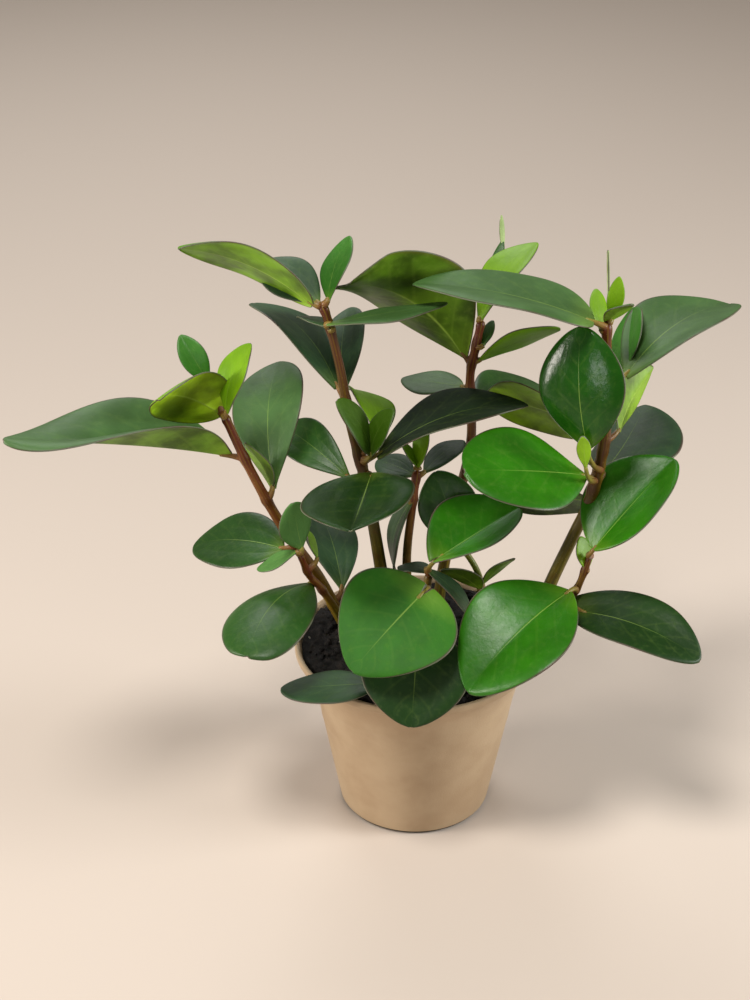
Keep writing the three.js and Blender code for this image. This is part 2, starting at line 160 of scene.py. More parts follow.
# Leaf skin under wax, which makes it satin to glossy, as its gloss attribute says: a pale midrib that
# fades towards the tip, a long vein in each half, faint side veins, a thin brown margin and slightly
# rippled, pebbled wax.
def leafFace(name, toneName, settings):
    s = {**leafPattern, **settings}
    material = newMaterial(name)
    tone = addNode(material, "Attribute", {}, attribute_name=toneName).outputs["Color"]
    gloss = addNode(material, "Attribute", {}, attribute_name="gloss").outputs["Fac"]
    place = addNode(material, "TexCoord", {}).outputs
    parts = addNode(material, "SeparateXYZ", {"Vector": place["UV"]}).outputs
    along = parts["Y"]
    across = addNode(material, "Math", {0: parts["X"], 1: 2.0, 2: -1.0}, operation="MULTIPLY_ADD")
    side = addNode(material, "Math", {0: across}, operation="ABSOLUTE")
    ribEdge = addNode(material, "Math", {0: along, 1: s["ribTaper"], 2: side}, operation="MULTIPLY_ADD")
    fromLongVein = addNode(material, "Math", {0: side, 1: s["longVeinAt"]}, operation="SUBTRACT")
    longVeinEdge = addNode(material, "Math", {0: fromLongVein}, operation="ABSOLUTE")
    veinsAlong = addNode(material, "Math", {0: along, 1: s["veins"]}, operation="MULTIPLY")
    slant = addNode(material, "Math", {0: side, 1: s["veinSlant"], 2: veinsAlong}, operation="MULTIPLY_ADD")
    turn = addNode(material, "Math", {0: slant, 1: 2 * math.pi}, operation="MULTIPLY")
    wave = addNode(material, "Math", {0: turn}, operation="SINE")
    midrib = fadedLine(material, ribEdge, (s["ribWidth"], s["ribCore"]), along, s["ribFade"])
    longVein = fadedLine(material, longVeinEdge, (s["longVeinWidth"], 0.0), along, s["longVeinFade"])
    vein = fadedLine(material, wave, s["veinLevels"], side, s["veinFade"])

    cloud = addNode(material, "TexNoise", spots(place, s["cloudWidth"], roughness=s["cloudRoughness"]))
    mottle, pebbles, ripple = (
        addNode(material, "TexNoise", spots(place, s[width], detail=2.0))
        for width in ("mottleWidth", "pebbleWidth", "rippleWidth")
    )
    shadow = {mixShare: 1.0, mixFrom: tone, mixTo: s["shadow"]}
    shaded = addNode(material, "Mix", shadow, data_type="RGBA", blend_type="MULTIPLY")
    colour = overlay(material, tone, cloud, s["cloudLevels"], s["cloudShare"], shaded)
    colour = overlay(material, colour, mottle, s["mottleLevels"], s["mottleShare"], s["rib"])
    for line, share in ((vein, s["veinShare"]), (longVein, s["longVeinShare"]), (midrib, s["ribShare"])):
        factor = addNode(material, "Math", {0: line, 1: share}, operation="MULTIPLY")
        inputs = {mixShare: factor, mixFrom: colour, mixTo: s["rib"]}
        colour = addNode(material, "Mix", inputs, data_type="RGBA")
    colour = overlay(material, colour, side, s["marginLevels"], s["marginShare"], s["margin"])

    height = addNode(material, "Math", {0: pebbles, 1: s["pebbleRise"]}, operation="MULTIPLY")
    rises = ((ripple, "rippleRise"), (vein, "veinRise"), (longVein, "longVeinRise"), (midrib, "ribRise"))
    for line, rise in rises:
        height = addNode(material, "Math", {0: line, 1: s[rise], 2: height}, operation="MULTIPLY_ADD")
    relief = {"Height": height, "Distance": s["bumpDepth"] * mm, "Strength": s["bump"]}
    bump = addNode(material, "Bump", relief)
    rough = addNode(material, "Math", {0: mottle, 1: s["roughRange"], 2: gloss}, operation="MULTIPLY_ADD")
    return surface(material, {
        "Base Color": colour, "Roughness": rough, "Specular IOR Level": s["specular"], "Normal": bump,
    })


# Thin margin of a leaf, where the skin of both faces meets: satin grey-green with brownish stretches.
def leafRim(name, settings):
    material = newMaterial(name)
    place = addNode(material, "TexCoord", {}).outputs
    stretch = addNode(material, "TexNoise", spots(place, settings["stretchWidth"]))
    colour = overlay(material, settings["plain"], stretch, settings["levels"], 1.0, settings["brown"])
    return surface(material, {
        "Base Color": colour, "Roughness": settings["rough"], "Specular IOR Level": settings["specular"],
    })


# Smooth living stem skin: the tone of its stem, with a satin sheen, yellowish lengthwise streaks that
# stand up as fine ridges, red-brown blotches and pale dots.
def stemSkin(name, settings):
    s = settings
    material = newMaterial(name)
    tone = addNode(material, "Attribute", {}, attribute_name="tone").outputs["Color"]
    place = addNode(material, "TexCoord", {}).outputs
    drawnOut = addNode(material, "Mapping", {"Vector": place["UV"], "Scale": s["streaks"]})
    streak = addNode(material, "TexNoise", {"Vector": drawnOut, "Scale": 1.0, "Detail": 3.0})
    blotch = addNode(material, "TexNoise", spots(place, s["blotchWidth"]))
    dots = addNode(material, "TexVoronoi", {"Vector": place["Object"], "Scale": 1 / (s["dotSpacing"] * mm)})
    colour = overlay(material, tone, streak, s["streakLevels"], s["streakShare"], s["streakTone"])
    colour = overlay(material, colour, blotch, s["blotchLevels"], s["blotchShare"], s["blotchTone"])
    colour = overlay(material, colour, dots, s["dotLevels"], s["dotShare"], s["dotTone"])
    swell = addNode(material, "Math", {0: blotch, 1: s["blotchRise"]}, operation="MULTIPLY")
    height = addNode(material, "Math", {0: streak, 1: s["streakRise"], 2: swell}, operation="MULTIPLY_ADD")
    relief = {"Height": height, "Distance": s["bumpDepth"] * mm, "Strength": s["bump"]}
    bump = addNode(material, "Bump", relief)
    return surface(material, {
        "Base Color": colour, "Roughness": s["rough"], "Specular IOR Level": s["specular"], "Normal": bump,
    })


topFace = leafFace("waxy leaf, upper face", "topTone", {
    "rib": "#8fae4c", "ribWidth": 0.028, "ribShare": 0.6, "ribRise": 0.5, "veinShare": 0.03,
    "margin": "#3d3024", "marginLevels": (0.94, 0.98), "marginShare": 0.85, "rippleRise": 2.4,
    "shadow": "#b4c2aa", "cloudShare": 0.55, "mottleShare": 0.04, "bump": 0.35, "specular": 0.34,
})
underFace = leafFace("waxy leaf, lower face", "underTone", {
    "rib": "#9dbb4a", "ribWidth": 0.06, "ribShare": 0.6, "ribRise": 1.2, "veinShare": 0.08,
    "margin": "#5a3a1c", "marginLevels": (0.88, 1.0), "marginShare": 0.45, "rippleRise": 1.6,
    "shadow": "#9a9a70", "cloudShare": 1.0, "mottleShare": 0.1, "bump": 0.3, "specular": 0.35,
})
rimFace = leafRim("pale leaf margin", {
    "plain": "#59604a", "brown": "#54463a", "stretchWidth": 17, "levels": (0.48, 0.62),
    "rough": 0.5, "specular": 0.4,
})
# streaks counts those round a stem and along it.
stemMaterial = stemSkin("red-brown to olive stem skin", {
    "streaks": (18.0, 4.4, 1.0), "streakLevels": (0.45, 0.75), "streakShare": 0.45, "streakTone": "#9a8414",
    "blotchWidth": 6.2, "blotchLevels": (0.5, 0.75), "blotchShare": 0.5, "blotchTone": "#5c2814",
    "dotSpacing": 1.4, "dotLevels": (0.16, 0.06), "dotShare": 0.3, "dotTone": "#c9b07a",
    "streakRise": 0.8, "blotchRise": 0.4, "bumpDepth": 0.3, "bump": 0.5, "rough": 0.4, "specular": 0.3,
})
print("leaf and stem materials made")

# Routes and tubes

curveSteps = 20
fewestSteps = 4
tiny = 1e-9  # keeps two points in one place from dividing by nothing


def evenly(points, spacing):
    lengths = [0.0]
    for a, b in zip(points, points[1:]):
        lengths.append(lengths[-1] + (b - a).length)
    count = max(fewestSteps, round(lengths[-1] / spacing))
    made = []
    at = 0
    for i in range(count + 1):
        target = lengths[-1] * i / count
        while at < len(points) - 2 and lengths[at + 1] < target:
            at += 1
        share = (target - lengths[at]) / max(lengths[at + 1] - lengths[at], tiny)
        made.append(points[at].lerp(points[at + 1], min(share, 1.0)))
    return made


# The centripetal curve through the points that the solids follow.
def smoothRoute(points, spacing):
    ends = [points[0] * 2 - points[1], *points, points[-1] * 2 - points[-2]]
    fine = []
    for a, b, c, d in zip(ends, ends[1:], ends[2:], ends[3:]):
        ab, bc, cd = ((b - a).length ** 0.5, (c - b).length ** 0.5, (d - c).length ** 0.5)
        leave = ((b - a) / ab - (c - a) / (ab + bc) + (c - b) / bc) * bc
        arrive = ((c - b) / bc - (d - b) / (bc + cd) + (d - c) / cd) * bc
        for i in range(curveSteps):
            u = i / curveSteps
            fine.append(b * (2 * u ** 3 - 3 * u ** 2 + 1) + leave * (u ** 3 - 2 * u ** 2 + u)
                        + c * (3 * u ** 2 - 2 * u ** 3) + arrive * (u ** 3 - u ** 2))
    return evenly([*fine, points[-1]], spacing)


# A round skin along a route: a grid 1 unit wide, rolled up and welded at its seam, with closed ends.
def addTube(mesh, route, radiusAt, toneAt, sides):
    tone = mesh.verts.layers.float_color["tone"]
    steps = len(route) - 1
    made = bmesh.ops.create_grid(mesh, x_segments=sides, y_segments=steps, size=0.5, calc_uvs=True)
    across = (route[1] - route[0]).orthogonal().normalized()
    frames = []
    for i, point in enumerate(route):
        tangent = (route[min(i + 1, steps)] - route[max(i - 1, 0)]).normalized()
        across = (across - tangent * across.dot(tangent)).normalized()
        frames.append((point, across, tangent.cross(across)))
    for vert in made["verts"]:
        angle = 2 * math.pi * (vert.co.x + 0.5)
        i = round((vert.co.y + 0.5) * steps)
        share = i / steps
        point, first, second = frames[i]
        radius = 0 if i in (0, steps) else radiusAt(share)
        vert.co = (point + first * radius * math.cos(angle) + second * radius * math.sin(angle)) * mm
        vert[tone] = toneAt(share)
    bmesh.ops.remove_doubles(mesh, verts=made["verts"], dist=weldDistance)


# Leaves

# Colours of the two faces of a leaf and the roughness of both, for each look of leaf.
leafTones = {
    "bright": {"top": "#286c02", "under": "#6f9a1e", "rough": 0.32},
    "fresh": {"top": "#336e1a", "under": "#6f9a1e", "rough": 0.36},
    "plain": {"top": "#264e16", "under": "#5f8a20", "rough": 0.36},
    # Partly painted sheen: sage and soft are greyer greens that stand in for the grey sheen on these leaves.
    "sageSheen": {"top": "#3f6230", "under": "#6b9426", "rough": 0.46},
    "soft": {"top": "#4a7836", "under": "#5f8a30", "rough": 0.46},
    # Painted shade: a darker grey-green for leaves that lie in the shade behind others.
    "shade": {"top": "#2c4a2c", "under": "#48683a", "rough": 0.46},
    "deep": {"top": "#143606", "under": "#2f5a16", "rough": 0.40},
    # Painted shade: near-black for the leaf that lies in shadow under the others.
    "shadowed": {"top": "#0a2404", "under": "#24480e", "rough": 0.8},
    "heart": {"top": "#256600", "under": "#5f8a20", "rough": 0.6},
    "glossy": {"top": "#174a06", "under": "#5f8a20", "rough": 0.17},
    "olive": {"top": "#3c5e06", "under": "#5d8414", "rough": 0.42},
    "young": {"top": "#4f8406", "under": "#76a612", "rough": 0.42},
    "lime": {"top": "#6f9c06", "under": "#84b010", "rough": 0.42},
    # Painted light: a brighter lime that stands in for light shining through the leaf from behind.
    "backlit": {"top": "#6a9208", "under": "#b4e020", "rough": 0.42},
    "pale": {"top": "#a8bd7e", "under": "#b5c890", "rough": 0.45},
}

# Every leaf runs from the end of its petiole to its tip and has a width and a roll in degrees round
# its midrib. arch, bend, lobe and skew are shares of its length or width, and cup, fold and furl of
# its half width. belly and blunt shape the outline, and start is where the petiole leaves the stem.
plainShape = {
    "arch": 0.06, "cup": 0.08, "bend": 0, "belly": 1.08, "skew": 0, "lobe": 0,
    "fold": 0, "furl": 0, "blunt": 0, "start": None,
}

# The first two lines are as in the solids. Rows and steps are those of a wide or long leaf and of a
# small one. thinnest and marginThin say how the blade thins from its midrib to its margin.
bladeSettings = {
    "thickness": 1.0, "endWidth": 0.8, "outlinePower": 0.72, "tipPower": 0.1,
    "lobeAcross": 1.5, "lobeAlong": 3,
    "wideFrom": 16, "rows": (14, 8), "longFrom": 30, "steps": (24, 14), "tipSlim": 0.8,
    "fullWidth": 40, "puff": 0.9, "puffPower": 0.8, "ribGroove": 0.35, "ribGrooveWidth": 0.07,
    "sideGroove": 0.16, "sideGrooveAt": 0.45, "sideGrooveWidth": 0.13, "curl": 0.9, "curlFrom": 0.72,
    "wave": 0.7, "waveTurn": 9, "waveOffset": 2, "phases": 6, "thinnest": 0.4, "marginThin": 0.45,
    "youngTone": "#a9c83a", "youngShare": 0.6, "footLength": 0.16, "footShare": 0.6, "topFootShare": 0.4,
}


def leaf(base, tip, width, roll, tone, **shape):
    return {**plainShape, "base": base, "tip": tip, "width": width, "roll": roll, "tone": tone, **shape}


def leafAxes(entry):
    base = Vector(entry["base"])
    along = Vector(entry["tip"]) - base
    length = along.length
    along.normalize()
    across = along.cross(Vector((0, 0, 1))).normalized()
    across = Matrix.Rotation(math.radians(entry["roll"]), 3, along) @ across
    return {"base": base, "along": along, "across": across, "out": across.cross(along), "length": length}


# The blade's middle surface, as in the solids: t runs from its base to its tip, s from margin to margin.
def bladePoint(entry, axes, t, s, endWidth):
    b = bladeSettings
    power = b["outlinePower"] - (b["tipPower"] + entry["blunt"]) * t
    outline = max(math.sin(math.pi * t ** entry["belly"]), 0) ** power
    half = max(entry["width"] / 2 * outline * (1 + entry["skew"] * s), endWidth)
    hump = axes["length"] * 4 * t * (1 - t)
    lobe = entry["lobe"] * abs(s) ** b["lobeAcross"] * (1 - t) ** b["lobeAlong"]
    reach = axes["length"] * (t - lobe)
    close = (entry["fold"] + entry["furl"] * (1 - t)) * abs(s)
    rise = entry["arch"] * hump + (entry["cup"] * s * s + close) * half
    return (axes["base"] + axes["along"] * reach + axes["across"] * (s * half + entry["bend"] * hump)
            + axes["out"] * rise)


# Its finer form: each half is puffed up beside a groove along the midrib, has a shallow groove of its
# own, turns down at the margin and waves slowly along it. A small leaf has less of it.
def bladeDetail(entry, axes, t, s, phase):
    b = bladeSettings
    size = min(entry["width"] / b["fullWidth"], 1.0)
    puff = b["puff"] * size * (abs(s) ** b["puffPower"] - s * s) * math.sin(math.pi * t) ** 0.5
    groove = -b["ribGroove"] * size * math.exp(-(s / b["ribGrooveWidth"]) ** 2) * (1 - t)
    fromSide = (abs(s) - b["sideGrooveAt"]) / b["sideGrooveWidth"]
    side = -b["sideGroove"] * size * math.exp(-fromSide ** 2) * math.sin(math.pi * t)
    curl = -b["curl"] * size * (max(abs(s) - b["curlFrom"], 0) / (1 - b["curlFrom"])) ** 2
    turn = b["waveTurn"] * t + phase + (b["waveOffset"] if s > 0 else 0)
    wave = b["wave"] * size * s * s * math.sin(turn)
    return axes["out"] * (puff + groove + side + curl + wave)


# The rows of the grid stand closer at both ends of the leaf, and its foot is paler.
def addBlade(mesh, entry, axes, phase):
    b = bladeSettings
    top = mesh.verts.layers.float_color["topTone"]
    under = mesh.verts.layers.float_color["underTone"]
    gloss = mesh.verts.layers.float["gloss"]
    weight = mesh.verts.layers.deform.verify()
    tone = leafTones[entry["tone"]]
    rows = b["rows"][0] if entry["width"] > b["wideFrom"] else b["rows"][1]
    steps = b["steps"][0] if axes["length"] > b["longFrom"] else b["steps"][1]
    made = bmesh.ops.create_grid(mesh, x_segments=rows, y_segments=steps, size=0.5, calc_uvs=True)
    young = blend(tone["under"], b["youngTone"], b["youngShare"])
    for vert in made["verts"]:
        s = 2 * vert.co.x
        even = vert.co.y + 0.5
        t = (even + 0.5 - 0.5 * math.cos(math.pi * even)) / 2
        place = bladePoint(entry, axes, t, s, b["endWidth"] * (1 - b["tipSlim"] * t))
        vert.co = (place + bladeDetail(entry, axes, t, s, phase)) * mm
        foot = max(1 - t / b["footLength"], 0) * b["footShare"]
        vert[top] = mix(linear(tone["top"]), young, foot * b["topFootShare"])
        vert[under] = mix(linear(tone["under"]), young, foot)
        vert[gloss] = tone["rough"]
        vert[weight][0] = 1 - b["marginThin"] * abs(s)


def thicken(piece):
    solid = piece.modifiers.new("thickness", "SOLIDIFY")
    solid.thickness = bladeSettings["thickness"] * mm
    solid.offset = 0
    solid.material_offset = 1
    solid.material_offset_rim = 2
    solid.vertex_group = "body"
    solid.thickness_vertex_group = bladeSettings["thinnest"]
    smooth = piece.modifiers.new("rounding", "SUBSURF")
    smooth.levels = 1
    smooth.render_levels = 1


# Petioles and stems

# The radii, pull, bend, drop and runIn are as in the solids. lift is the range of how far the tone of a
# petiole goes from foot to end by its blade.
petioleSettings = {
    "radius": 1.25, "endRadius": 0.8, "flare": 0.9, "flareLength": 2.2, "pull": 0.4, "bend": 8,
    "drop": 0.5, "runIn": 0.06, "curveSteps": 24, "spacing": 1.0, "sides": 10,
    "foot": "#70302a", "end": "#86903c", "lift": (0.35, 0.9), "tonePower": 0.8,
}

# A stem swells and darkens at each node, where a petiole leaves it. Its first tone gives way to the
# second between two shares of its length, and the second to the third. It is rounded at its top.
stemSettings = {
    "spacing": 1.5, "sides": 16, "tipSteps": 1.5, "rootDepth": 18, "rootDraw": 0.88,
    "nodeSwell": 0.45, "nodeLength": 2.4, "nodeTone": "#42180f", "nodeShare": 0.6,
    "lowTo": 0.1, "middleAt": 0.55, "topFrom": 0.85,
}


def stemRoute(shoot):
    points = [Vector(p) for p in shoot["stem"]]
    s = stemSettings
    root = Vector((points[0].x * s["rootDraw"], points[0].y * s["rootDraw"], points[0].z - s["rootDepth"]))
    return smoothRoute([root, *points], s["spacing"])


def nearestTo(points, target):
    return min(range(len(points)), key=lambda i: (points[i] - target).length)


# The petiole leaves the stem a little below the leaf and runs on into the base of the midrib.
def petioleRoute(entry, axes, stems):
    p = petioleSettings
    base = axes["base"]
    if entry["start"]:
        start = Vector(entry["start"])
    else:
        points = [point for stem in stems for point in stem]
        gap = (points[nearestTo(points, base)] - base).length
        start = points[nearestTo(points, base - Vector((0, 0, p["drop"] * gap)))]
    end = bladePoint(entry, axes, p["runIn"], 0, bladeSettings["endWidth"])
    control = base - axes["along"] * min(p["pull"] * (start - base).length, p["bend"])
    shares = [i / p["curveSteps"] for i in range(p["curveSteps"] + 1)]
    fine = [start * (1 - u) ** 2 + control * 2 * u * (1 - u) + end * u * u for u in shares]
    return evenly(fine, p["spacing"])


def addPetiole(mesh, route, lift):
    p = petioleSettings
    length = (route[-1] - route[0]).length
    foot = linear(p["foot"])
    top = blend(p["foot"], p["end"], lift)

    def radiusAt(share):
        flare = p["flare"] * math.exp(-share * length / p["flareLength"])
        return p["radius"] + flare + (p["endRadius"] - p["radius"]) * share

    def toneAt(share):
        return mix(foot, top, share ** p["tonePower"])

    addTube(mesh, route, radiusAt, toneAt, p["sides"])


def addStem(mesh, route, radii, joints, tones):
    s = stemSettings
    steps = len(route) - 1

    def nearNode(share):
        gaps = [(share * steps - joint) * s["spacing"] / s["nodeLength"] for joint in joints]
        return max((math.exp(-gap ** 2) for gap in gaps), default=0)

    def radiusAt(share):
        rounding = min((1 - share) * steps / s["tipSteps"], 1) ** 0.5
        slim = radii[0] + (radii[1] - radii[0]) * share
        return (slim + s["nodeSwell"] * nearNode(share)) * rounding

    def toneAt(share):
        if share < s["middleAt"]:
            plain = blend(tones[0], tones[1], (share - s["lowTo"]) / (s["middleAt"] - s["lowTo"]))
        else:
            plain = blend(tones[1], tones[2], (share - s["middleAt"]) / (s["topFrom"] - s["middleAt"]))
        return mix(plain, linear(s["nodeTone"]), s["nodeShare"] * nearNode(share))

    addTube(mesh, route, radiusAt, toneAt, s["sides"])


# Shoots: one piece for the leaves and one for the stem and petioles. tones run up the stem.

shoots = {
    "shoot_a": {
        "stem": [
            (-28, 14, 71), (-35, 8, 92), (-42, 2, 112), (-50, -2, 128),
            (-58, -6, 145), (-69, -10, 172), (-78, -12, 197),
        ],
        "sideStem": [(-33, 9, 87), (-36, 1, 98), (-42, -6, 113), (-45, -8, 118), (-49, -14, 133)],
        "radius": 2.9,
        "topRadius": 1.7,
        "sideRadius": 1.9,
        "sideTopRadius": 1.3,
        "tones": ("#6a6014", "#643a12", "#642a14"),
        "leaves": [
            leaf((-76, -10, 177), (-158, -54, 208), 40, 7, "sageSheen",
                 arch=0.01, cup=-0.18, belly=1.15, furl=1.7),
            leaf((-76, -21, 202), (-66, -12, 228), 24, -18, "lime", arch=0.1, cup=0.12),
            leaf((-79, -10, 196), (-100, -45, 220), 31, 50, "backlit", arch=0.12, cup=0.05, belly=0.75),
            leaf((-84, -8, 209), (-95, 0, 226), 11, -40, "fresh", fold=0.3, start=(-78, -12, 196)),
            leaf((-59, -6, 159), (-58, 48, 191), 33, -21, "sageSheen", arch=0.15, cup=0.15, belly=1.3),
            leaf((-56, -4, 129), (-96, 19, 117), 30, -26, "plain", bend=0.03, belly=0.88, blunt=0.1),
            leaf((-48, -15, 136), (-51, -17, 159), 17, -84, "soft", arch=-0.03, cup=-0.07),
            leaf((-50, -16, 135), (-67, -10, 123), 12, -12, "soft", arch=0, cup=0.03),
            leaf((-60, -5, 159), (-70, -10, 183), 12, 19, "young"),
            leaf((-44, -2, 111), (-69, -56, 110), 39, 8, "plain",
                 arch=0.11, cup=-0.19, bend=0.045, belly=1.36, blunt=0.2),
            leaf((-32, 10, 100), (-43, 49, 116), 24, 8, "shade", arch=0.11, cup=0.14, belly=1.2),
            leaf((-42, -7, 127), (-46, -6, 139), 7, -1, "lime", arch=0.03),
        ],
    },
    "shoot_b": {
        "stem": [
            (-10, 14, 71), (-13, 10, 95), (-18, 4, 134), (-22, 2, 160),
            (-28, 2, 187), (-32, 0, 213), (-37, 0, 235), (-39, 0, 240),
        ],
        "radius": 3.2,
        "topRadius": 1.6,
        "tones": ("#4c4a10", "#3a360e", "#522c16"),
        "leaves": [
            leaf((-28, 3, 159), (-57, 37, 165), 20, -35, "plain", arch=0.16, cup=0.2, belly=1.2),
            leaf((-42, 0, 239), (-94, 1, 263), 35, 43, "young", arch=0.09, belly=0.92),
            leaf((-40, 4, 238), (-63, 30, 245), 21, -20, "shade"),
            leaf((-36, 0, 241), (-28, 22, 259), 17, -33, "fresh", belly=1.15),
            leaf((-33, 6, 199), (-69, 50, 217), 36, 23, "shade", arch=0.12, cup=0.15),
            leaf((-30, 6, 198), (-28, 46, 217), 23, -30, "shade", arch=0.09, cup=0.14, belly=1.15),
            leaf((-37, -3, 232), (11, 4, 238), 29, -15, "sageSheen", arch=0, cup=0),
            leaf((-35, -3, 230), (-48, 15, 227), 13, 14, "plain"),
            leaf((-20, -4, 174), (-33, -10, 202), 17, -39, "olive", arch=0.1, cup=0.03, belly=1.13),
            leaf((-19, -4, 174), (-10, -6, 196), 14, 38, "olive", arch=0.1, cup=0.12),
            leaf((-16, 2, 178), (-29, 34, 185), 22, 29, "lime", arch=0.16, cup=0.21, bend=0.02, belly=1.12),
            leaf((-17, -2, 172), (45, 7, 191), 42, -8, "shadowed", arch=0.1, cup=0.2, bend=-0.01, belly=1),
            leaf((-19, -3, 165), (-27, -58, 170), 47, 10, "deep",
                 arch=-0.08, cup=-0.25, bend=0.03, belly=0.95, fold=0.55),
        ],
    },
    "shoot_c": {
        "stem": [
            (10, 30, 71), (12, 29, 95), (18, 28, 134), (23, 27, 164),
            (22, 27, 196), (24, 26, 209), (26, 26, 221),
        ],
        "radius": 2.9,
        "topRadius": 1.6,
        "tones": ("#4c4a1a", "#54381a", "#6a3020"),
        "leaves": [
            leaf((20, 28, 202), (-28, 5, 246), 47, 47, "olive",
                 arch=0.13, cup=0.36, bend=-0.03, belly=1.15, skew=-0.06, blunt=0.5),
            leaf((25, 26, 220), (49, 44, 247), 25, -13, "lime", arch=0.13, cup=0.13, belly=1.2),
            leaf((25, 26, 202), (59, 31, 214), 22, 134, "lime", arch=-0.04, cup=-0.08, belly=1),
            leaf((19, 28, 189), (-6, 48, 183), 19, -9, "sageSheen", arch=0, cup=0.03, belly=1),
            leaf((25, 31, 182), (55, 64, 171), 28, 12, "plain", belly=1),
            leaf((27, 24, 210), (31, 31, 218), 6, -10, "plain"),
            leaf((26, 37, 216), (36, 61, 241), 7, 3, "plain", arch=0, cup=0),
            leaf((36, 60, 237), (35, 62, 252), 2.6, 3, "pale", arch=0, cup=0, start=(34, 56, 234)),
        ],
    },
    "shoot_d": {
        "stem": [
            (40, -6, 71), (51, -6, 96), (57, -6, 115), (65, -7, 138),
            (70, -8, 153), (75, -8, 183), (75, -7, 201), (73, -6, 235),
        ],
        "sideStem": [(53, -6, 92), (58, -11, 103), (66, -17, 117), (71, -17, 134)],
        "radius": 3.2,
        "topRadius": 1.8,
        "sideRadius": 1.7,
        "sideTopRadius": 1.3,
        "tones": ("#38480a", "#4c3e0c", "#5c2e16"),
        "leaves": [
            leaf((68, -8, 235), (-3, 4, 246), 43, 4, "sageSheen", arch=0.05, cup=-0.04, belly=0.7, fold=0.22),
            leaf((82, -5, 210), (129, 36, 223), 42, -8, "sageSheen",
                 arch=0.1, cup=0.25, bend=-0.01, belly=1.15, blunt=0.18),
            leaf((82, 0, 209), (88, 32, 223), 24, -56, "fresh", arch=0.02),
            leaf((67, -21, 186), (63, -9, 234), 36, -42, "glossy",
                 arch=0.08, cup=-0.14, bend=-0.02, belly=1.06, start=(74, -9, 170)),
            leaf((81, -4, 185), (98, 28, 198), 25, -96, "lime", arch=0.05, cup=0.02, belly=1.2, fold=0.3),
            leaf((68, -14, 170), (17, -39, 186), 44, -24, "bright",
                 arch=0.02, cup=0.06, belly=1.12, skew=0.05, blunt=0.15, start=(72, -8, 162)),
            leaf((79, 3, 165), (101, 60, 164), 41, -15, "shade",
                 arch=-0.03, cup=-0.22, belly=0.94, skew=0.11, blunt=0.2),
            leaf((71, -26, 142), (105, -4, 172), 40, 0, "bright",
                 arch=0.01, cup=0.16, belly=0.92, skew=-0.04, fold=0.25),
            leaf((71, -6, 154), (44, 22, 133), 24, 53, "shade"),
            leaf((68, -22, 109), (114, -51, 105), 32, 11, "deep",
                 arch=0.1, cup=0.13, belly=0.93, lobe=0.2, fold=0.1, blunt=0.05),
            leaf((63, -24, 121), (20, -55, 92), 48, -13, "bright",
                 arch=0.1, cup=0.05, belly=0.95, fold=0.2),
            leaf((74, -4, 181), (29, 29, 183), 36, 60, "lime", cup=-0.05, bend=-0.04, belly=1.4),
            leaf((71, -6, 231), (70, 11, 241), 7, -5, "lime"),
            leaf((75, -5, 235), (77, -4, 253), 7, 60, "lime"),
            leaf((73, -4, 233), (81, -15, 246), 11, -12, "fresh"),
            leaf((66, -25, 180), (64, -25, 194), 6, 90, "lime", start=(72, -9, 165)),
            leaf((70, -17, 127), (67, -12, 140), 10, 10, "lime"),
            leaf((74, -4, 236), (72, -4, 264), 3, 3, "pale", arch=0, cup=0),
        ],
    },
    "shoot_e": {
        "stem": [(-2, 20, 71), (-4, 13, 114), (-2, 10, 141), (0, 9, 160)],
        "radius": 2.3,
        "topRadius": 1.6,
        "tones": ("#5f6a22", "#6a5a24", "#7a4026"),
        "leaves": [
            leaf((3, 10, 158), (20, 27, 164), 15, -5, "shade"),
            leaf((-1, 11, 156), (-17, 29, 153), 14, -25, "shade"),
            leaf((0, 9, 161), (-7, 10, 172), 8, -4, "lime"),
            leaf((0, 9, 161), (4, 11, 179), 11, 5, "lime"),
            leaf((-2, 9, 145), (-9, 14, 107), 20, -45, "shade", arch=0.1, cup=0.12),
        ],
    },
    "shoot_f": {
        "stem": [(2, -6, 71), (3, -8, 101), (5, -8, 120)],
        "radius": 2.3,
        "topRadius": 1.6,
        "tones": ("#6f3a24", "#74502a", "#7a6a24"),
        "leaves": [
            leaf((1, -29, 122), (-27, -56, 103), 52, -22, "heart",
                 arch=0.07, cup=0.09, bend=-0.01, belly=0.67, lobe=0.15),
            leaf((0, -28, 112), (-3, -60, 78), 45, -9, "deep", arch=0.06, cup=0.09, belly=1.1),
            leaf((9, -20, 135), (43, 8, 142), 34, 5, "bright",
                 arch=0, cup=0.28, belly=0.93, skew=-0.1, lobe=0.12, fold=0.2),
            leaf((5, -8, 120), (-7, 5, 115), 13, 4, "shade", arch=0.05, cup=0.07),
            leaf((4, -12, 124), (24, -15, 101), 17, -6, "shade", cup=0.13, belly=1.13),
        ],
    },
    "shoot_g": {
        "stem": [(24, 10, 71), (28, 6, 102), (26, 6, 112), (20, 8, 122)],
        "radius": 1.8,
        "topRadius": 1.3,
        "tones": ("#5f6a24", "#626e26", "#66722a"),
        "leaves": [
            leaf((20, 8, 123), (8, 20, 153), 26, -45, "plain", belly=1.15),
            leaf((28, 4, 104), (11, -7, 121), 16, 32, "olive"),
            leaf((28, 4, 106), (41, -5, 125), 8, -26, "plain"),
        ],
    },
    "shoot_h": {
        "stem": [(-8, -20, 71), (-10, -30, 81), (-12, -38, 86)],
        "radius": 1.8,
        "topRadius": 1.3,
        "tones": ("#5c5a24", "#626228", "#6a6a2a"),
        "leaves": [
            leaf((-13, -40, 86), (-57, -39, 82), 26, 3, "shade", arch=0, cup=0, belly=1.2),
        ],
    },
}


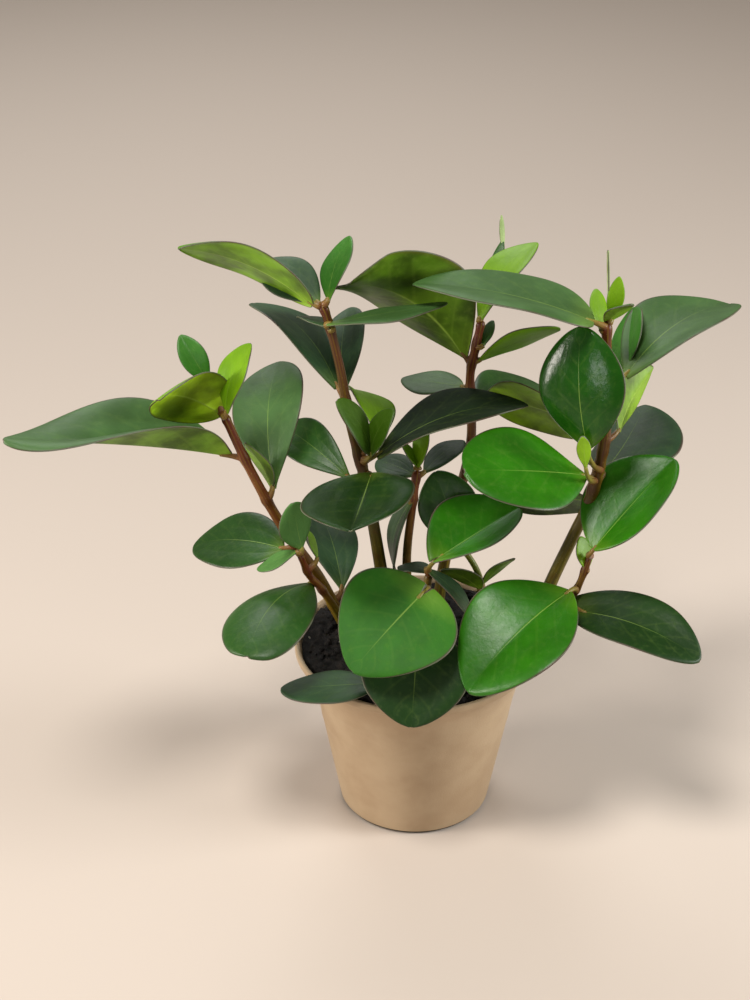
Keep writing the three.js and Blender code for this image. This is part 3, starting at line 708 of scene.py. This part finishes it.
def makeShoot(name, shoot):
    letter = name[-1]
    leaves = bmesh.new()
    leaves.loops.layers.uv.new("UVMap")
    for layer in ("topTone", "underTone"):
        leaves.verts.layers.float_color.new(layer)
    leaves.verts.layers.float.new("gloss")
    stems = bmesh.new()
    stems.loops.layers.uv.new("UVMap")
    stems.verts.layers.float_color.new("tone")
    routes = [stemRoute(shoot)]
    radii = [(shoot["radius"], shoot["topRadius"])]
    if "sideStem" in shoot:
        routes.append(smoothRoute([Vector(p) for p in shoot["sideStem"]], stemSettings["spacing"]))
        radii.append((shoot["sideRadius"], shoot["sideTopRadius"]))
    joints = [[] for route in routes]
    for entry in shoot["leaves"]:
        axes = leafAxes(entry)
        addBlade(leaves, entry, axes, draw.uniform(0, bladeSettings["phases"]))
        route = petioleRoute(entry, axes, routes)
        addPetiole(stems, route, draw.uniform(*petioleSettings["lift"]))
        ends = [nearestTo(stem, route[0]) for stem in routes]
        gaps = [(stem[i] - route[0]).length for stem, i in zip(routes, ends)]
        nearest = gaps.index(min(gaps))
        joints[nearest].append(ends[nearest])
    for route, pair, found in zip(routes, radii, joints):
        addStem(stems, route, pair, found, shoot["tones"])
    blades = meshObject("leaves_" + letter, leaves, [topFace, underFace, rimFace], "root")
    blades.vertex_groups.new(name="body")
    thicken(blades)
    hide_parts(name)
    meshObject("stems_" + letter, stems, [stemMaterial], "root")


for name, shoot in shoots.items():
    makeShoot(name, shoot)
print("shoots made")

# Pot

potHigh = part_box("pot")[1]
potSettings = {
    "height": potHigh.z / mm, "rim": potHigh.x / mm, "foot": 33.0, "wall": 1.6, "lipFlare": 5.5,
    "lipBand": 4.0, "lipWidth": 2.0, "flareRise": 15.0, "floor": 2.4, "footBand": 1.3, "footRecess": 0.5,
    "footFlat": 1.6, "footInset": 1.4, "footRound": 0.9, "bandEdge": 1.6, "bandTop": 1.7,
    "lipUnderRound": 0.7, "lipUnderRise": 1.3, "wallSteps": 60, "flareSteps": 10,
    "rings": (60.0, 45.5), "ringRise": 0.18, "ringWidth": 0.9, "segments": 128, "sharpFrom": 40,
    "drainHoles": 6, "drainRadius": 3.0, "drainCircle": 19.0, "drainSegments": 24,
}


# Injection-moulded polypropylene: matte and slightly uneven in tone, with faint scuffs. A dark band at
# the foot is painted shade, where the pot meets the floor. Its moulded grain is finer than 0.67 mm, and
# is drawn as coarse as it shows.
def potPlastic(name, settings):
    s = settings
    material = newMaterial(name)
    place = addNode(material, "TexCoord", {}).outputs
    height = addNode(material, "SeparateXYZ", {"Vector": place["Object"]}).outputs["Z"]
    cloud = addNode(material, "TexNoise", spots(place, s["cloudWidth"], detail=4.0, roughness=0.6))
    grain = addNode(material, "TexNoise", spots(place, s["grainWidth"], detail=2.0))
    scuff = addNode(material, "TexNoise", spots(place, s["scuffWidth"], detail=5.0, roughness=0.7))
    shadeBandTop = s["shadeBandTop"] * mm
    colour = overlay(material, s["light"], cloud, s["cloudLevels"], 1.0, s["dark"])
    colour = overlay(material, colour, scuff, s["scuffLevels"], s["scuffShare"], s["scuff"])
    # Painted shade: the foot colour darkens the lowest band of the wall, as the shadow where it meets the
    # floor.
    colour = overlay(material, colour, height, (shadeBandTop + s["shadeBandFade"] * mm, shadeBandTop), 1.0, s["foot"])
    relief = addNode(material, "Math", {0: cloud, 1: s["cloudRise"], 2: grain}, operation="MULTIPLY_ADD")
    bump = addNode(material, "Bump", {
        "Height": relief, "Distance": s["bumpDepth"] * mm, "Strength": s["bump"],
    })
    roughness = {0: grain, 1: s["roughRange"], 2: s["rough"]}
    rough = addNode(material, "Math", roughness, operation="MULTIPLY_ADD")
    return surface(material, {
        "Base Color": colour, "Roughness": rough, "Specular IOR Level": s["specular"], "Normal": bump,
    })


# The wall tapers and flares towards the lip, as in the solids.
def wallRadius(height):
    s = potSettings
    lipLow = s["height"] - s["lipBand"]
    flared = max(0, (height - lipLow) / s["flareRise"] + 1)
    taper = (s["rim"] - s["lipFlare"] - s["foot"]) / lipLow
    return s["foot"] + taper * height + (s["lipFlare"] - s["wall"]) * flared ** 2


def arc(centre, radius, start, end, count):
    angles = [math.radians(start + (end - start) * i / count) for i in range(count + 1)]
    return [(centre[0] + radius * math.cos(a), centre[1] + radius * math.sin(a)) for a in angles]


# From the middle of the underside out, up the wall with its two faint rings, over the lip and back
# inside to the middle of the floor.
def potProfile():
    s = potSettings
    lipLow = s["height"] - s["lipBand"]
    lipRound = s["lipWidth"] / 2
    bandTop = s["bandTop"]
    flareStart = lipLow - s["flareRise"]
    points = [(0, 0), (s["foot"] - s["footFlat"], 0)]
    edge = (s["foot"] - s["footInset"], s["footRound"])
    points += arc(edge, s["footRound"], start=-80, end=0, count=4)
    points.append((wallRadius(s["footBand"]) - s["footRecess"], s["footBand"]))
    points.append((wallRadius(s["bandEdge"]), bandTop))
    for i in range(1, s["wallSteps"]):
        z = bandTop + (flareStart - bandTop) * i / s["wallSteps"]
        rise = sum(s["ringRise"] * math.exp(-((z - ring) / s["ringWidth"]) ** 2) for ring in s["rings"])
        points.append((wallRadius(z) + rise, z))
    flare = [flareStart + s["flareRise"] * i / s["flareSteps"] for i in range(s["flareSteps"] + 1)]
    points += [(wallRadius(z), z) for z in flare]
    under = (s["rim"] - s["lipUnderRound"], lipLow + s["lipUnderRise"])
    points += arc(under, s["lipUnderRound"], start=-60, end=0, count=5)
    over = (s["rim"] - lipRound, s["height"] - lipRound)
    points += arc(over, lipRound, start=0, end=180, count=12)
    points += [(wallRadius(z) - s["wall"], z) for z in reversed(flare)]
    points += [(wallRadius(s["floor"]) - s["wall"], s["floor"]), (0, s["floor"])]
    return points


# Drills for the drain holes: they stick out of the floor on both sides.
def makeDrills():
    s = potSettings
    drills = bmesh.new()
    for i in range(s["drainHoles"]):
        angle = 2 * math.pi * i / s["drainHoles"]
        circle = s["drainCircle"] * mm
        place = Matrix.Translation((circle * math.cos(angle), circle * math.sin(angle), s["floor"] * mm / 2))
        bmesh.ops.create_cone(drills, cap_ends=True, segments=s["drainSegments"], matrix=place,
                              radius1=s["drainRadius"] * mm, radius2=s["drainRadius"] * mm,
                              depth=3 * s["floor"] * mm)
    return meshObject("drills", drills, [], "root")


def makePot(material):
    s = potSettings
    mesh = bmesh.new()
    ring = [mesh.verts.new((r * mm, 0, z * mm)) for r, z in potProfile()]
    edges = [mesh.edges.new(pair) for pair in zip(ring, ring[1:])]
    bmesh.ops.spin(mesh, geom=ring + edges, cent=(0, 0, 0), axis=(0, 0, 1), angle=2 * math.pi,
                   steps=s["segments"], use_merge=True, use_duplicate=False)
    bmesh.ops.remove_doubles(mesh, verts=mesh.verts, dist=weldDistance)
    bmesh.ops.recalc_face_normals(mesh, faces=mesh.faces)
    pot = meshObject("pot_body", mesh, [material], "root")
    cutter = makeDrills()
    holes = pot.modifiers.new("drain holes", "BOOLEAN")
    holes.operation = "DIFFERENCE"
    holes.object = cutter
    bpy.context.view_layer.update()
    cut = bpy.data.meshes.new_from_object(pot.evaluated_get(bpy.context.evaluated_depsgraph_get()))
    pot.modifiers.remove(holes)
    pot.data = cut
    cut.name = "pot_body"
    bpy.data.objects.remove(cutter)
    cut.set_sharp_from_angle(angle=math.radians(s["sharpFrom"]))
    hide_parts("pot")


makePot(potPlastic("moulded beige polypropylene", {
    "light": "#b09a7c", "dark": "#a1896b", "cloudWidth": 38, "cloudLevels": (0.35, 0.7), "cloudRise": 0.6,
    "scuff": "#8f7255", "scuffWidth": 5.3, "scuffLevels": (0.66, 0.74), "scuffShare": 0.25,
    # foot is painted shade along the bottom of the wall.
    "foot": "#3c3522", "shadeBandTop": 1.3, "shadeBandFade": 0.4, "grainWidth": 0.67, "bumpDepth": 0.25, "bump": 0.35,
    "rough": 0.5, "roughRange": 0.12, "specular": 0.4,
}))
print("pot made")

# Soil: the solid, a crumbly layer on it, loose crumbs and pale grains

# The height, the heap and the waves are as in the solid. The rough layer lies on it and ends at a gap
# from the wall. edge keeps the grains off the wall, and stand is the share of its size by which the
# middle of a grain stands over the layer.
soilSettings = {
    "height": 78, "heap": 4, "bump": 0.9, "waveX": 0.21, "waveShift": 1, "waveY": 0.17,
    "rippleShare": 0.4, "rippleY": 0.43, "rippleX": 0.5,
    "layer": 0.9, "roughRise": 1.0, "roughScale": 0.35, "octaves": 5,
    "gap": 0.35, "turnDown": 3.0, "outermost": 0.999, "segments": 110,
    "edge": 2, "squash": (0.6, 1.2), "stand": 0.25, "turns": 6, "lift": 0.1, "lump": 0.35, "lumpScale": 1.3,
}
soilEdge = wallRadius(soilSettings["height"]) - potSettings["wall"] - soilSettings["gap"]


# Damp potting mix of peat and bark: rough near-black crumbs with brown fibres in them.
def pottingMix(name, settings):
    s = settings
    material = newMaterial(name)
    place = addNode(material, "TexCoord", {}).outputs
    crumb = addNode(material, "TexNoise", spots(place, s["crumbWidth"], detail=6.0, roughness=0.7))
    fibre = addNode(material, "TexNoise", spots(place, s["fibreWidth"], detail=4.0, roughness=0.6))
    colour = overlay(material, s["dark"], crumb, s["crumbLevels"], 1.0, s["light"])
    colour = overlay(material, colour, fibre, s["fibreLevels"], s["fibreShare"], s["fibre"])
    relief = {"Height": crumb, "Distance": s["bumpDepth"] * mm, "Strength": s["bump"]}
    return surface(material, {
        "Base Color": colour, "Roughness": s["rough"], "Specular IOR Level": s["specular"],
        "Normal": addNode(material, "Bump", relief),
    })


# Perlite, a popped volcanic glass: chalky white grains. Their pits are drawn as coarse as they show.
def perliteGrain(name, settings):
    s = settings
    material = newMaterial(name)
    place = addNode(material, "TexCoord", {}).outputs
    pits = addNode(material, "TexNoise", spots(place, s["pitWidth"]))
    relief = {"Height": pits, "Distance": s["bumpDepth"] * mm, "Strength": s["bump"]}
    return surface(material, {
        "Base Color": overlay(material, s["dark"], pits, s["levels"], 1.0, s["light"]),
        "Roughness": s["rough"], "Normal": addNode(material, "Bump", relief),
    })


def soilTop(x, y):
    s = soilSettings
    heap = s["heap"] * max(0, 1 - (x * x + y * y) / potSettings["rim"] ** 2)
    wave = math.sin(s["waveX"] * x + s["waveShift"]) * math.cos(s["waveY"] * y)
    ripple = s["rippleShare"] * math.sin(s["rippleY"] * y + s["rippleX"] * x)
    rough = noise.fractal(Vector((x, y, 0)) * s["roughScale"], 1.0, 2.0, s["octaves"])
    return s["height"] + heap + s["bump"] * (wave + ripple) + s["layer"] + s["roughRise"] * rough


# The square grid is drawn out into a disc, and its outermost ring turns down along the wall.
def makeSoilTop(material):
    s = soilSettings
    mesh = bmesh.new()
    made = bmesh.ops.create_grid(mesh, x_segments=s["segments"], y_segments=s["segments"], size=1.0)
    for vert in made["verts"]:
        reach = max(abs(vert.co.x), abs(vert.co.y))
        flat = math.hypot(vert.co.x, vert.co.y)
        scale = reach / flat * soilEdge if flat > 0 else 0
        x, y = vert.co.x * scale, vert.co.y * scale
        drop = s["turnDown"] if reach > s["outermost"] else 0.0
        vert.co = Vector((x, y, soilTop(x, y) - drop)) * mm
    meshObject("soil_surface", mesh, [material], "root")


# Lumpy grains, more of them small than large, spread evenly over the soil.
def scatterGrains(name, material, settings):
    s = soilSettings
    mesh = bmesh.new()
    for i in range(settings["count"]):
        angle = draw.uniform(0, 2 * math.pi)
        reach = (soilEdge - s["edge"]) * draw.random() ** 0.5
        x, y = reach * math.cos(angle), reach * math.sin(angle)
        size = settings["small"] + (settings["large"] - settings["small"]) * draw.random() ** 2
        squash = [draw.uniform(*s["squash"]) for axis in range(3)]
        place = Matrix.Translation(Vector((x, y, soilTop(x, y) + s["stand"] * size)) * mm)
        turned = draw.uniform(0, s["turns"])
        axis = Vector((draw.random(), draw.random(), draw.random() + s["lift"]))
        shape = Matrix.Diagonal((*(size * mm * share for share in squash), 1))
        whole = place @ Matrix.Rotation(turned, 4, axis) @ shape
        grain = bmesh.ops.create_icosphere(mesh, subdivisions=2, radius=1, matrix=whole)
        centre = place.translation
        for vert in grain["verts"]:
            spot = (vert.co - centre) / (size * mm) * s["lumpScale"] + Vector((i, 0, 0))
            vert.co = centre + (vert.co - centre) * (1 + s["lump"] * noise.noise(spot))
    meshObject(name, mesh, [material], "root", smooth=False)


soilMaterial = pottingMix("damp potting mix", {
    "dark": "#040302", "light": "#1c140e", "crumbWidth": 2.6, "crumbLevels": (0.4, 0.7),
    "fibre": "#2f2418", "fibreWidth": 11, "fibreLevels": (0.58, 0.72), "fibreShare": 0.5,
    "bumpDepth": 1.2, "bump": 0.9, "rough": 0.85, "specular": 0.3,
})
perlite = perliteGrain("white perlite", {
    "dark": "#8d877c", "light": "#d9d5cb", "pitWidth": 0.7, "levels": (0.4, 0.7),
    "bumpDepth": 0.3, "bump": 0.6, "rough": 0.8,
})
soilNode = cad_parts["soil"]
soilNode.data.materials.clear()
soilNode.data.materials.append(soilMaterial)
makeSoilTop(soilMaterial)
scatterGrains("soil_crumbs", soilMaterial, {"count": 420, "small": 0.5, "large": 2.2})
scatterGrains("perlite", perlite, {"count": 46, "small": 0.4, "large": 1.1})
print("soil made")

# Floor, light and camera, in metres. An area light is a disc that faces the middle of the plant, with
# a width, a power in watts and a colour.

floorSettings = {"colour": "#c2b7ac", "rough": 0.75, "specular": 0.2, "reach": 6}
skySettings = {"colour": "#f4e6d8", "strength": 0.22}
plantMiddle = Vector((0, 0, 0.15))
lights = {
    "left": {"place": (-0.95, -0.2, 0.3), "width": 0.3, "power": 7.5, "colour": "#fff6ee"},
    "right": {"place": (0.95, -0.12, 0.4), "width": 0.4, "power": 9, "colour": "#ffffff"},
    "top": {"place": (-0.2, -0.4, 1.15), "width": 0.3, "power": 10, "colour": "#fffaf4"},
    "front": {"place": (-0.35, -0.95, 0.38), "width": 0.22, "power": 1, "colour": "#ffffff"},
    "back": {"place": (-0.3, 1.0, 1.1), "width": 0.8, "power": 8, "colour": "#ffffff"},
}
cameraSettings = {
    "place": (-0.0177, -0.7056, 0.5579), "tilt": 60, "lens": 70.56, "sensor": 36, "nearest": 0.01,
}


# A matte painted floor, pale and plain.
def makeFloor():
    f = floorSettings
    material = surface(newMaterial("pale plain floor"), {
        "Base Color": f["colour"], "Roughness": f["rough"], "Specular IOR Level": f["specular"],
    })
    mesh = bmesh.new()
    bmesh.ops.create_grid(mesh, x_segments=1, y_segments=1, size=f["reach"])
    data = bpy.data.meshes.new("floor")
    mesh.to_mesh(data)
    mesh.free()
    floor = bpy.data.objects.new("floor", data)
    bpy.context.scene.collection.objects.link(floor)
    data.materials.append(material)
    floor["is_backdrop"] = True


def addSoftLight(name, settings):
    data = bpy.data.lights.new(name, "AREA")
    data.shape = "DISK"
    data.size = settings["width"]
    data.energy = settings["power"]
    data.color = linear(settings["colour"])[:3]
    light = bpy.data.objects.new(name, data)
    light.location = settings["place"]
    light.rotation_mode = "QUATERNION"
    light.rotation_quaternion = (plantMiddle - Vector(settings["place"])).to_track_quat("-Z", "Y")
    bpy.context.scene.collection.objects.link(light)


def makeWorld():
    world = bpy.data.worlds.new("soft studio")
    world.use_nodes = True
    background = world.node_tree.nodes["Background"]
    background.inputs["Color"].default_value = linear(skySettings["colour"])
    background.inputs["Strength"].default_value = skySettings["strength"]
    bpy.context.scene.world = world


def makeCamera():
    c = cameraSettings
    camera = bpy.data.objects.new("camera", bpy.data.cameras.new("camera"))
    camera.location = c["place"]
    camera.rotation_euler = (math.radians(c["tilt"]), 0, 0)
    camera.data.lens = c["lens"]
    camera.data.sensor_width = c["sensor"]
    camera.data.clip_start = c["nearest"]
    bpy.context.scene.collection.objects.link(camera)
    bpy.context.scene.camera = camera


makeFloor()
makeWorld()
for name, settings in lights.items():
    addSoftLight(name, settings)
makeCamera()
bpy.context.scene.view_settings.view_transform = "Standard"
print("floor, lights and camera made")

boxes = {"cad": cadBox, "visual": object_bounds()}
{name: [list(corner) for corner in box] for name, box in boxes.items()}
